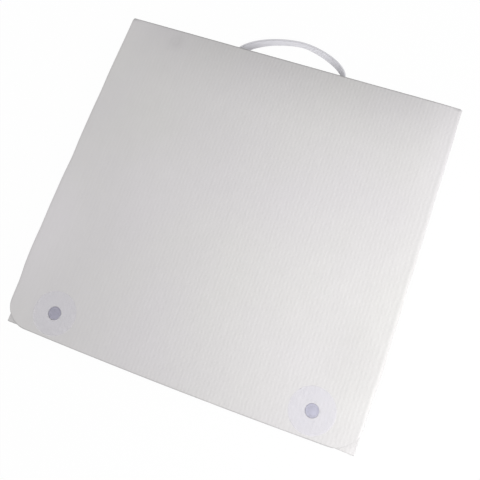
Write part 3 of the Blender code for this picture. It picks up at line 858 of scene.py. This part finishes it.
def discPiece(node, body, look, slot):
    # a turned disc: its profile runs from the axis over the ring and round the rim, then mirrored back
    low, high = corners(node)
    radius, rim, slope = (high[0] - low[0]) / 2, disc["rim"], disc["ringSlope"]
    ring, sunk = radius - disc["faceRing"], low[2] + disc["ringDepth"]
    turn = np.linspace(0, np.pi / 2, 4)
    arc = np.stack([radius - rim + rim * np.sin(turn), low[2] + rim - rim * np.cos(turn)], -1)
    half = [(0, low[2]), (ring - disc["ringWidth"] - slope, low[2]), (ring - disc["ringWidth"], sunk),
            (ring, sunk), (ring + slope, low[2])] + arc.tolist()
    mirror = [(r, low[2] + high[2] - z) for r, z in reversed(half)]
    piece = lathe(f"{node}_turned", half + mirror, middleOf(low, high))
    finishPiece(piece, look, body, slot, node)


def filmPiece(node, body, side, outward):
    # a thin turned film, flat on its board, that thins out as a parabola at its edge;
    # outward is 1 where it looks up and -1 where it looks down
    low, high = corners(node)
    radius, thin = (high[0] - low[0]) / 2, (high[2] - low[2])
    inner = low[2] if outward > 0 else high[2]
    share = np.linspace(0, 1, 7)
    across = np.concatenate([radius * np.array([0.35, 0.70]), radius - disc["filmEdge"] * (1 - share)])
    height = thin * np.concatenate([[1, 1], 1 - disc["filmThin"] * share ** 2])
    profile = [(0, 0), (radius * 0.5, 0), (radius, 0), *zip(across[::-1], height[::-1]), (0, thin)]
    profile = [(r, inner + outward * z) for r, z in profile][::outward]
    piece = lathe(f"{node}_sheet", profile, middleOf(low, high), 96)
    finishPiece(piece, f"film_{side}", body, "film", node)


for side, _ in sides:
    for body in ("roof", "floor"):
        discPiece(f"{body}_magnet_{side}", body, f"magnet_{side}", "magnet")
    for body, outward in (("roof", 1), ("floor", -1)):
        filmPiece(f"{body}_patch_{side}", body, side, outward)
    for half in ("lower", "upper"):
        discPiece(f"{side}_{half}_disc", f"{side}_{half}", "steel", "steel")
    for place in ("high", "low"):
        discPiece(f"{side}_flap_magnet_{place}", f"{side}_flap", f"magnet_{side}", "magnet")
        filmPiece(f"{side}_flap_patch_{place}", f"{side}_flap", side, -1)
print("magnets, discs and films ready")


# Strap handle: a moulded band with raised rims, arched out of the spine

strap = {
    "fullness": 1.75,        # 2 is an ellipse, less has slimmer shoulders
    "shift": 0.0056,         # the top of the arch sits this far towards +X
    # the band's lean in degrees, lower rim inwards, at shares of the arch from right to left
    "lean": ((0.0, 0.10, 0.28, 0.50, 0.70, 0.90, 1.0), (0, 14, 14, -4.5, 5, 20, 0)),
    "leanRows": 13,          # rows over which the lean is averaged
    "leanFade": 12,          # from each foot it grows as the sine of the turn times this, up to 1
    "rows": 97,
    "rimThickness": 0.0019,
    "webThickness": 0.0013,
    "rimWidth": 0.0012,
    "rimSlope": (0.0004, 0.0006),   # where the slope from web to rim starts inside the rim, and its width
    "rimRound": 0.0005,
    "section": (-1, -0.99, -0.96, -0.90, -0.82, -0.76, -0.70, -0.60, -0.30, 0),   # rows of the lower half
    "edgeRounding": 0.75,   # share of the rounding that the band's and the heads' edges take
    "headRounding": 0.70,
    "headWidth": 0.0120,
    "headThickness": 0.0016,
    "headTaper": 0.94,       # width of a head's two faces, as a share of its middle's
    # rows of each tail, from its head's face outwards, in thicknesses of the head: first the
    # head's own, then the band's
    "headRows": (0, 0.12, 0.5, 0.88, 1.0),
    "tailRows": (1.02, 1.6, 2.4),
    "rimGrey": (0.78, 0.88),   # shares of half the height between which the rims' painted shade sets in
    "footStart": 0.50,       # the painted shade of each end starts at this share of the half span
}


def strapBand():
    # path: straight in from the spine to each head, and half a superellipse outside it
    edge = (strapHigh[2] - strapLow[2]) / 2
    centreZ = (strapHigh[2] + strapLow[2]) / 2
    head, rim, full = strap["headWidth"], strap["rimThickness"], strap["fullness"]
    rise = strapHigh[1] - spineHigh[1] - rim / 2
    turn = np.linspace(0, np.pi, strap["rows"])
    across = np.sign(np.cos(turn)) * np.abs(np.cos(turn)) ** (2 / full)
    along = np.abs(np.sin(turn)) ** (2 / full)
    arch = np.stack([slotX * across + strap["shift"] * along, spineHigh[1] + rise * along], -1)
    outward = np.stack([np.sign(across) * np.abs(across) ** (full - 1) / slotX,
                        along ** (full - 1) / rise], -1)
    outward /= np.linalg.norm(outward, axis=1, keepdims=True)
    face = head * strap["headTaper"]
    tailY = strapLow[1] + strap["headThickness"] * np.array(strap["headRows"] + strap["tailRows"])
    tailWide = np.array([face, head, head, head, face, rim, rim, rim])
    tail, aside = np.stack([0 * tailY + slotX, tailY], -1), np.tile((1.0, 0.0), (len(tailY), 1))
    centre = np.vstack([tail, arch, (tail * (-1, 1))[::-1]])
    normal = np.vstack([aside, outward, -aside])
    wide = np.concatenate([tailWide, 0 * turn + rim, tailWide[::-1]])
    # section: half thickness over the height, full at the rims, less on the web, rounded at the ends
    up = edge * np.array(strap["section"])
    up = np.concatenate([up, -up[-2::-1]])
    slopeStart, slopeWidth = strap["rimSlope"]
    web = strap["webThickness"] / rim
    onRim = held((np.abs(up) - edge + strap["rimWidth"] + slopeStart) / slopeWidth)
    inRound = held((np.abs(up) - edge + strap["rimRound"]) / strap["rimRound"])
    endRound = np.sqrt(np.clip(1 - inRound ** 2, 0.04, 1))
    shape = (web + (1 - web) * eased(onRim)) * (1 - strap["edgeRounding"] * inRound * (1 - endRound))
    headShape = 1 - strap["headRounding"] * (1 - endRound)
    # lean: each row turns about its upper rim
    span = strap["leanRows"]
    tip = np.radians(np.interp(turn / np.pi, *strap["lean"]))
    tip = np.convolve(np.pad(tip, span // 2, mode="edge"), np.ones(span) / span, "valid")
    tip = np.concatenate([0 * tailY, tip * held(np.sin(turn) * strap["leanFade"]), 0 * tailY])[:, None]
    half = np.where((wide > rim)[:, None], headShape, shape) * wide[:, None] / 2
    ring = []
    for side in (1, -1):
        out = side * half * np.cos(tip) + (up - edge) * np.sin(tip)
        height = centreZ + edge + (up - edge) * np.cos(tip) - side * half * np.sin(tip)
        plan = centre[:, None] + normal[:, None] * out[..., None]
        ring.append(np.concatenate([plan, height[..., None]], -1))
    loop = np.concatenate([ring[0], ring[1][:, ::-1]], 1)
    rows, count = loop.shape[:2]
    faces = gridQuads(rows, count)[:, ::-1].tolist()
    faces += [list(range(count)), [(rows - 1) * count + n for n in range(count)][::-1]]
    piece = makeMesh("handle_band", loop, faces, 40)
    # these two values carry the painted shade of the rims and of the ends
    greyFrom, greyTo = strap["rimGrey"]
    rimShare = held((np.abs(np.concatenate([up, up[::-1]])) / edge - greyFrom) / (greyTo - greyFrom))
    writeShare(piece, "rimShare", np.tile(rimShare, rows))
    nearFoot = held((np.abs(across) - strap["footStart"]) / (1 - strap["footStart"]))
    nearFoot = np.concatenate([1 + 0 * tailY, nearFoot, 1 + 0 * tailY])
    lowDown = np.sqrt((edge - up) / (2 * edge))
    writeShare(piece, "footShare", np.outer(nearFoot, np.concatenate([0 * up, lowDown[::-1]])).ravel())
    return piece


finishPiece(strapBand(), "strap", "roof", "strap", "handle_strap")
print("handle ready")


# Hinge tapes: thin strips folded over in the gap of each fold line

tape = {
    "thickness": 0.00012,
    "reach": 0.0075,        # width on each board
    "endInset": 0.0020,     # stays clear of the boards' ends
    "kneeInset": 0.0540,    # the knee tapes stop short of the flap that lies over the wall's rear
    "flapInset": 0.0040,    # and the flap tapes short of their flap's round corners
    "lift": 0.00004,        # film of glue between tape and board
    # how far each fold stands out past the boards' edges
    "footBulge": 0.0006,
    "kneeBulge": 0.0004,
    "flapBulge": 0.0003,
    "roofBulge": 0.0006,
}


def hingeTape(name, edges, heights, ends, outward, bulge):
    # section in XZ: flat on the lower board, half a circle round the fold, and back flat on the
    # upper board; edges and heights are the lower board's and the upper's
    reach, thick, lift = tape["reach"], tape["thickness"], tape["lift"]
    z0, z1 = heights[0] + lift + thick / 2, heights[1] - lift - thick / 2
    radius = (z1 - z0) / 2
    bendX = edges[0] + outward * (bulge - radius)
    turn = np.linspace(-np.pi / 2, np.pi / 2, 9)[1:-1]
    lower = np.stack([np.linspace(edges[0] - outward * reach, bendX, 6), np.full(6, z0)], -1)
    fold = np.stack([bendX + outward * radius * np.cos(turn), (z0 + z1) / 2 + radius * np.sin(turn)], -1)
    upper = np.stack([np.linspace(bendX, edges[1] - outward * reach, 6), np.full(6, z1)], -1)
    path = np.vstack([lower, fold, upper])
    along = np.gradient(path, axis=0)
    along /= np.linalg.norm(along, axis=1, keepdims=True)
    side = np.stack([-along[:, 1], along[:, 0]], -1) * thick / 2
    loop = np.vstack([path + side, (path - side)[::-1]])
    ys = np.linspace(ends[0] + tape["endInset"], ends[1] - tape["endInset"], 12)[:, None]
    points = np.stack([loop[:, 0] + 0 * ys, ys + 0 * loop[:, 0], loop[:, 1] + 0 * ys], -1)
    count = len(loop)
    faces = gridQuads(len(ys), count).tolist()
    faces += [list(range(count))[::-1], [(len(ys) - 1) * count + n for n in range(count)]]
    piece = makeMesh(name, points, faces)
    piece.data.materials.append(looks["hinge_tape"])
    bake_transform(piece)


for side, sign in sides:
    floorHigh, backHigh = corners("floor_panel")[1], corners("back_panel")[1]
    lowerLow, lowerHigh = corners(f"{side}_wall_lower")
    upperLow, upperHigh = corners(f"{side}_wall_upper")
    flapLow, flapHigh = corners(f"{side}_flap")
    outerX = max(abs(lowerLow[0]), abs(lowerHigh[0])) * sign
    innerX = min(abs(lowerLow[0]), abs(lowerHigh[0])) * sign
    flapX = max(abs(flapLow[0]), abs(flapHigh[0])) * sign
    start, stop, inset = lowerLow[1], lowerHigh[1], tape["flapInset"]
    hingeTape(f"{side}_foot_tape", (outerX, outerX),
              (floorHigh[2], lowerLow[2]), (start, stop), sign, tape["footBulge"])
    hingeTape(f"{side}_knee_tape", (innerX, innerX),
              (lowerHigh[2], upperLow[2]), (start, stop - tape["kneeInset"]), -sign, tape["kneeBulge"])
    hingeTape(f"{side}_flap_tape", (sign * backHigh[0], flapX),
              (backHigh[2], flapLow[2]), (flapLow[1] + inset, flapHigh[1] - inset),
              sign, tape["flapBulge"])
upperLow, upperHigh = corners("left_wall_upper")
hingeTape("roof_tape", (upperLow[0], upperLow[0]),
          (upperHigh[2], roofLow[2]), (upperLow[1], upperHigh[1]), -1, tape["roofBulge"])
print("hinge tapes ready")


# Lights under the roof's front margin, hook pads, and the finishes of the nodes that stay

light = {"chipCount": 12, "domeRadius": 0.0017, "domeHeight": 0.00022}
hooks = {"spacing": 0.0012, "stem": 0.00016, "cap": 0.00030, "height": 0.00022,
         "capFlat": 0.7, "capRim": 0.8, "capUnder": 0.6}   # shares of the cap's radius and of the height
root = 0.00005   # lenses and hooks reach this far into what carries them

for side, _ in sides:
    # each lens is a quarter ellipse turned round, hanging from its chip
    low, high = corners(f"led_strip_{side}")
    pitch = (high[0] - low[0]) / light["chipCount"]
    chipX = low[0] + pitch * (np.arange(light["chipCount"]) + 0.5)
    radius, tall = light["domeRadius"], light["domeHeight"]
    turn = np.linspace(0, 1, 6)[1:] * np.pi / 2
    dome = [(0, -tall), *zip(radius * np.sin(turn), -tall * np.cos(turn))]
    places = np.stack([chipX, 0 * chipX + (low[1] + high[1]) / 2, 0 * chipX + low[2]], -1)
    lamps = stamp(f"led_lenses_{side}", latheShape(dome + [(radius, root), (0, root)], 16), places)
    finishPiece(lamps, "phosphor", "roof", "circuit")

    # each hook is a stem with a wider cap, and a square grid of them fills the round pad
    low, high = corners(f"backdrop_pad_{side}")
    radius, stem, cap, tall = (high[0] - low[0]) / 2, hooks["stem"], hooks["cap"], hooks["height"]
    grid = np.arange(-radius, radius, hooks["spacing"])
    x, y = [part.ravel() for part in np.meshgrid(grid, grid)]
    places = middleOf(low, high) + np.stack([x, y, 0 * x + low[2]], -1)[np.hypot(x, y) < radius - cap * 2]
    shape = latheShape([(0, -tall), (cap * hooks["capFlat"], -tall), (cap, -tall * hooks["capRim"]),
                        (stem, -tall * hooks["capUnder"]), (stem, root), (0, root)], 8)
    finishPiece(stamp(f"hook_field_{side}", shape, places), "hook", "roof", "hook")

keptFinish = {"led_strip": "circuit", "led_diffuser": "diffuser", "led_inlet": "inlet",
              "handle_plate": "plate", "backdrop_pad": "hook"}
for name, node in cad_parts.items():
    for start, look in keptFinish.items():
        if name.startswith(start):
            node.data.materials.clear()
            node.data.materials.append(looks[look])
print("lights, hooks and kept nodes ready")


# Floor, light and camera

studio = {
    "floorSize": 8.0,
    "floorDrop": 0.0003,       # the floor lies this far below the object
    "floorColour": (0.86, 0.86, 0.86),
    "floorRoughness": 0.9,
    "floorWhite": 0.97,        # share of plain white that the camera sees in the floor
    "skyFront": (0.60, -0.80, 0.0),   # the sky is brightest on this side
    "skyLow": 0.405,
    "skyHigh": 1.36,
    "keyAim": (0.33, -0.115, 0.02),
    "keyFrom": (0.50, -0.25, 0.83),   # direction from the aim to the key light
    "keyDistance": 2.2,
    "keyRadius": 0.15,
    "keySpread": 20,           # full angle of its soft pool, in degrees
    "keyWatts": 140.0,
}


def studioFloor():
    # one square that is lit and shadowed as a pale matt floor, and that the camera sees as nearly white
    half, height = studio["floorSize"] / 2, -studio["floorDrop"]
    points = [(x * half, y * half, height) for x, y in ((-1, -1), (1, -1), (1, 1), (-1, 1))]
    piece = makeMesh("studio_floor", points, [(0, 1, 2, 3)])
    material, tree, shader = newMaterial("studio_floor", studio["floorColour"], studio["floorRoughness"],
                                         Specular_IOR_Level=0.0)
    rays = newNode(tree, "LightPath").outputs
    seen = calc(tree, "ADD", rays["Is Camera Ray"], rays["Is Glossy Ray"], clamp=True)
    seen = calc(tree, "ADD", seen, rays["Is Transmission Ray"], clamp=True)
    mixer = newNode(tree, "MixShader")
    for value, socket in zip((times(tree, seen, studio["floorWhite"]), shader.outputs[0],
                              newNode(tree, "Emission").outputs[0]), mixer.inputs):
        tree.links.new(value, socket)
    tree.links.new(mixer.outputs[0], tree.nodes["Material Output"].inputs["Surface"])
    piece.data.materials.append(material)


def studioSky():
    # soft light all round, stronger from one side; the camera sees plain white
    world = bpy.data.worlds.new("studio_sky")
    scene.world = world
    world.use_nodes = True
    tree = world.node_tree
    toFront = newNode(tree, "VectorMath")
    toFront.operation = "DOT_PRODUCT"
    tree.links.new(newNode(tree, "TexCoord").outputs["Generated"], toFront.inputs[0])
    toFront.inputs[1].default_value = studio["skyFront"]
    level = spread(tree, toFront.outputs["Value"], -1.0, 1.0, studio["skyLow"], studio["skyHigh"])
    rays = newNode(tree, "LightPath").outputs
    seen = calc(tree, "MAXIMUM", rays["Is Camera Ray"], rays["Is Transmission Ray"])
    unseen = times(tree, level, calc(tree, "SUBTRACT", 1.0, seen))
    fill(tree, tree.nodes["Background"], Color=(1.0, 1.0, 1.0), Strength=calc(tree, "ADD", unseen, seen))


def keyLight():
    # a far soft spot, whose pool of light fades from its aim outwards
    lamp = bpy.data.lights.new("key_light", "SPOT")
    lamp.spot_size, lamp.spot_blend = math.radians(studio["keySpread"]), 1.0
    lamp.shadow_soft_size, lamp.energy = studio["keyRadius"], studio["keyWatts"]
    holder = bpy.data.objects.new("key_light", lamp)
    scene.collection.objects.link(holder)
    away = Vector(studio["keyFrom"]).normalized()
    place = Vector(studio["keyAim"]) + away * studio["keyDistance"]
    holder.matrix_world = Matrix.Translation(place) @ away.to_track_quat("Z", "Y").to_matrix().to_4x4()


studioFloor()
studioSky()
keyLight()

view = {
    "lens": 44.4935,
    "place": (0.12103, -0.14798, 0.63498),
    "forward": (-0.16480205, 0.17279259, -0.97107312),
    "up": (-0.31410464, 0.92408244, 0.21773818),
}
lens = bpy.data.cameras.new("camera")
lens.lens, lens.sensor_width, lens.clip_start = view["lens"], 36.0, 0.01
camera = bpy.data.objects.new("camera", lens)
scene.collection.objects.link(camera)
forward = Vector(view["forward"]).normalized()
right = forward.cross(Vector(view["up"])).normalized()
turned = Matrix((right, right.cross(forward), -forward)).transposed()
camera.matrix_world = Matrix.Translation(view["place"]) @ turned.to_4x4()
scene.camera = camera
print("studio and camera ready")
